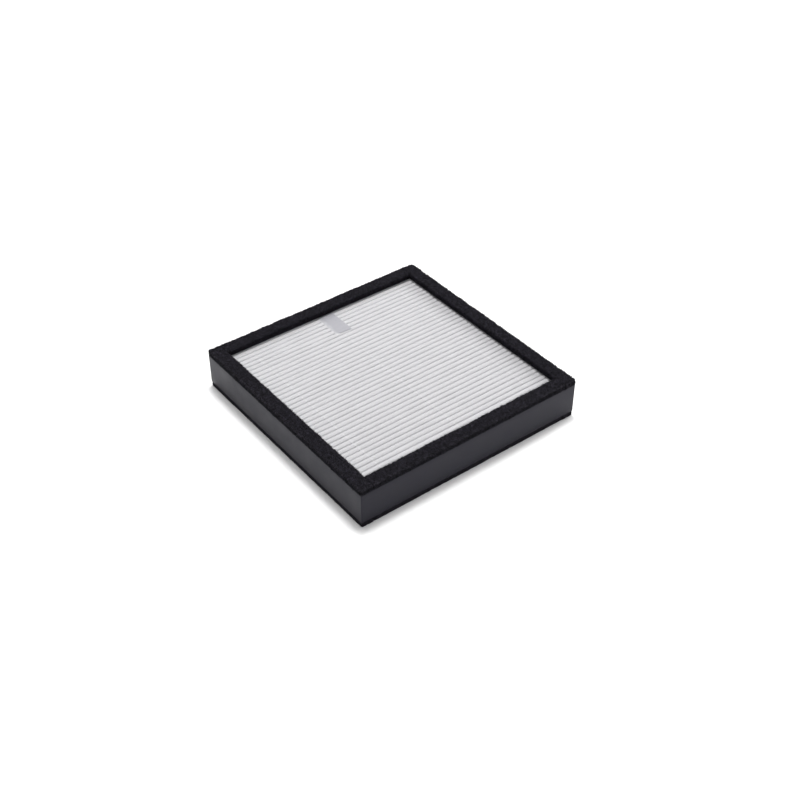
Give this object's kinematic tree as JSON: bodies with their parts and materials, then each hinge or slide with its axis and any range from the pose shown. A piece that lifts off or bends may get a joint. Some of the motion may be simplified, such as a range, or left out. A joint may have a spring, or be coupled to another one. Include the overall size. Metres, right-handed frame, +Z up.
{
  "type": "pleated panel filter cartridge",
  "caption": "Square pleated filter cartridge for a bench fume extractor: white folded sheet in a black channel frame, with black foam sealing rings on both faces.",
  "frame": {"origin": "centre of the base, on the lower gasket's sealing face", "axes": "+Z up through the filter, along the air path; X along the pleats; Y across the pleats, with the grey tab on the +Y side"},
  "size_m": [0.2, 0.2, 0.034],
  "materials": {
    "frame_plastic": "satin black extruded plastic",
    "key_plastic": "plain moulded plastic, hidden in the frame",
    "gasket_foam": "open-cell foam, dead matt with a torn-cell grain",
    "adhesive_film": "double-sided adhesive film",
    "filter_sheet": "white non-woven filter sheet, fibrous and matt",
    "hot_melt": "milky hot-melt glue, slightly glossy",
    "tab_melt": "translucent grey, smooth"
  },
  "bodies": {
    "root": {"adhesive_bottom_back": "adhesive_film", "adhesive_bottom_front": "adhesive_film", "adhesive_bottom_left": "adhesive_film", "adhesive_bottom_right": "adhesive_film", "adhesive_top_back": "adhesive_film", "adhesive_top_front": "adhesive_film", "adhesive_top_left": "adhesive_film", "adhesive_top_right": "adhesive_film", "bead_bottom_left": "hot_melt", "bead_bottom_middle": "hot_melt", "bead_bottom_right": "hot_melt", "bead_top_left": "hot_melt", "bead_top_middle": "hot_melt", "bead_top_right": "hot_melt", "corner_key_back_left": "key_plastic", "corner_key_back_right": "key_plastic", "corner_key_front_left": "key_plastic", "corner_key_front_right": "key_plastic", "gasket_bottom_back": "gasket_foam", "gasket_bottom_front": "gasket_foam", "gasket_bottom_left": "gasket_foam", "gasket_bottom_right": "gasket_foam", "gasket_top_back": "gasket_foam", "gasket_top_front": "gasket_foam", "gasket_top_left": "gasket_foam", "gasket_top_right": "gasket_foam", "hot_melt_tab": "tab_melt", "pleated_filter_sheet": "filter_sheet", "rail_back": "frame_plastic", "rail_front": "frame_plastic", "rail_left": "frame_plastic", "rail_right": "frame_plastic", "side_seal_back": "hot_melt", "side_seal_front": "hot_melt", "side_seal_left": "hot_melt", "side_seal_right": "hot_melt"}
  },
  "joints": []
}
